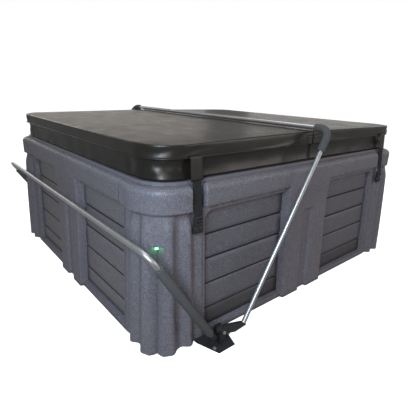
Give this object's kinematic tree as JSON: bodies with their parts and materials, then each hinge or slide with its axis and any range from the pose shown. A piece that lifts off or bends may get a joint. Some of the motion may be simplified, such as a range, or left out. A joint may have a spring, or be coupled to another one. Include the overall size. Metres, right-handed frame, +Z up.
{
  "type": "portable hot tub",
  "caption": "Rigid moulded portable hot tub with a bifold insulated cover, lock-down straps and an under-mount swing cover lifter.",
  "frame": {"origin": "on the floor under the centre of the tub's footprint, on the base pan's underside", "axes": "+X along the long side away from the lifter's end, +Y along the cover's fold towards the back, +Z up"},
  "size_m": [2.2209, 2.24, 1.0059],
  "materials": {
    "granite_moulding": "moulded, fine granite speckle",
    "board_panel": "moulded boards, slightly darker, brown-black lowest board",
    "base_pan": "matte",
    "vessel_shell": "smooth moulded shell",
    "cover_vinyl": "dark brown marine vinyl with fine grain",
    "strap_webbing": "black woven webbing with a black plastic buckle",
    "black_plastic": "black, fine texture",
    "galvanised_tube": "galvanised",
    "coated_steel": "black powder coat",
    "foam_sleeve": "closed-cell foam",
    "corner_lamp": "clear lens with a green light",
    "pump_paint": "grey paint",
    "filter_media": "pleated media"
  },
  "bodies": {
    "tub": {"corner_front_left": "granite_moulding", "corner_front_right": "granite_moulding", "corner_back_left": "granite_moulding", "corner_back_right": "granite_moulding", "wall_front": "granite_moulding", "wall_back": "granite_moulding", "wall_left": "granite_moulding", "wall_right": "granite_moulding", "panel_front_left": "board_panel", "panel_front_right": "board_panel", "panel_back_left": "board_panel", "panel_back_right": "board_panel", "panel_left_front": "board_panel", "panel_left_back": "board_panel", "panel_right_front": "board_panel", "panel_right_back": "board_panel", "base_pan": "base_pan", "vessel": "vessel_shell", "filter_lid": "vessel_shell", "lock_base_front_left": "black_plastic", "lock_base_front_right": "black_plastic", "lock_base_back_left": "black_plastic", "lock_base_back_right": "black_plastic", "keypad": "black_plastic", "jet_front": "black_plastic", "jet_back": "black_plastic", "control_box": "black_plastic", "pump_wet_end": "black_plastic", "cradle_frame": "galvanised_tube", "pivot_bolt_front": "galvanised_tube", "pivot_bolt_back": "galvanised_tube", "heater": "galvanised_tube", "lifter_base_front": "coated_steel", "lifter_base_back": "coated_steel", "cradle_foam_front": "foam_sleeve", "cradle_foam_back": "foam_sleeve", "corner_lamp_front_left": "corner_lamp", "corner_lamp_front_right": "corner_lamp", "corner_lamp_back_left": "corner_lamp", "corner_lamp_back_right": "corner_lamp", "pump_motor": "pump_paint", "filter_cartridge": "filter_media"},
    "lifter": {"arm_front": "galvanised_tube", "arm_back": "galvanised_tube", "bar_joiner": "galvanised_tube", "corner_foam_front": "foam_sleeve", "corner_foam_back": "foam_sleeve", "elbow_front": "coated_steel", "elbow_back": "coated_steel"},
    "cover_left": {"cover_left": "cover_vinyl"},
    "cover_right": {"cover_right": "cover_vinyl"},
    "diverter": {"diverter_knob": "black_plastic"},
    "strap_front_left": {"strap_front_left": "strap_webbing"},
    "strap_front_right": {"strap_front_right": "strap_webbing"},
    "strap_back_left": {"strap_back_left": "strap_webbing"},
    "strap_back_right": {"strap_back_right": "strap_webbing"}
  },
  "joints": [
    {"name": "lifter_swing", "type": "hinge", "parent": "tub", "child": "lifter", "pos_m": [-0.735, 0, 0.06], "axis": [0, -1, 0], "range_deg": [0, 79.5]},
    {"name": "cover_tilt", "type": "hinge", "parent": "lifter", "child": "cover_left", "pos_m": [0, 0, 0.985], "axis": [0, -1, 0], "range_deg": [-21, 0]},
    {"name": "cover_fold", "type": "hinge", "parent": "cover_left", "child": "cover_right", "pos_m": [0, 0, 0.985], "axis": [0, -1, 0], "range_deg": [0, 180]},
    {"name": "strap_front_left_swing", "type": "hinge", "parent": "cover_left", "child": "strap_front_left", "pos_m": [-0.83, -0.9525, 0.903], "axis": [-1, 0, 0], "range_deg": [0, 90], "deforming": ["strap_front_left"]},
    {"name": "strap_front_right_swing", "type": "hinge", "parent": "cover_right", "child": "strap_front_right", "pos_m": [0.83, -0.9525, 0.903], "axis": [-1, 0, 0], "range_deg": [0, 90], "deforming": ["strap_front_right"]},
    {"name": "strap_back_left_swing", "type": "hinge", "parent": "cover_left", "child": "strap_back_left", "pos_m": [-0.83, 0.9525, 0.903], "axis": [1, 0, 0], "range_deg": [0, 90], "deforming": ["strap_back_left"]},
    {"name": "strap_back_right_swing", "type": "hinge", "parent": "cover_right", "child": "strap_back_right", "pos_m": [0.83, 0.9525, 0.903], "axis": [1, 0, 0], "range_deg": [0, 90], "deforming": ["strap_back_right"]},
    {"name": "diverter_turn", "type": "hinge", "parent": "tub", "child": "diverter", "pos_m": [0.9, 0.35, 0.875], "axis": [0, 0, 1], "range_deg": [0, 150]}
  ],
  "couplings": [
    {"joint": "cover_tilt", "follows": "lifter_swing", "ratio": -0.26}
  ]
}
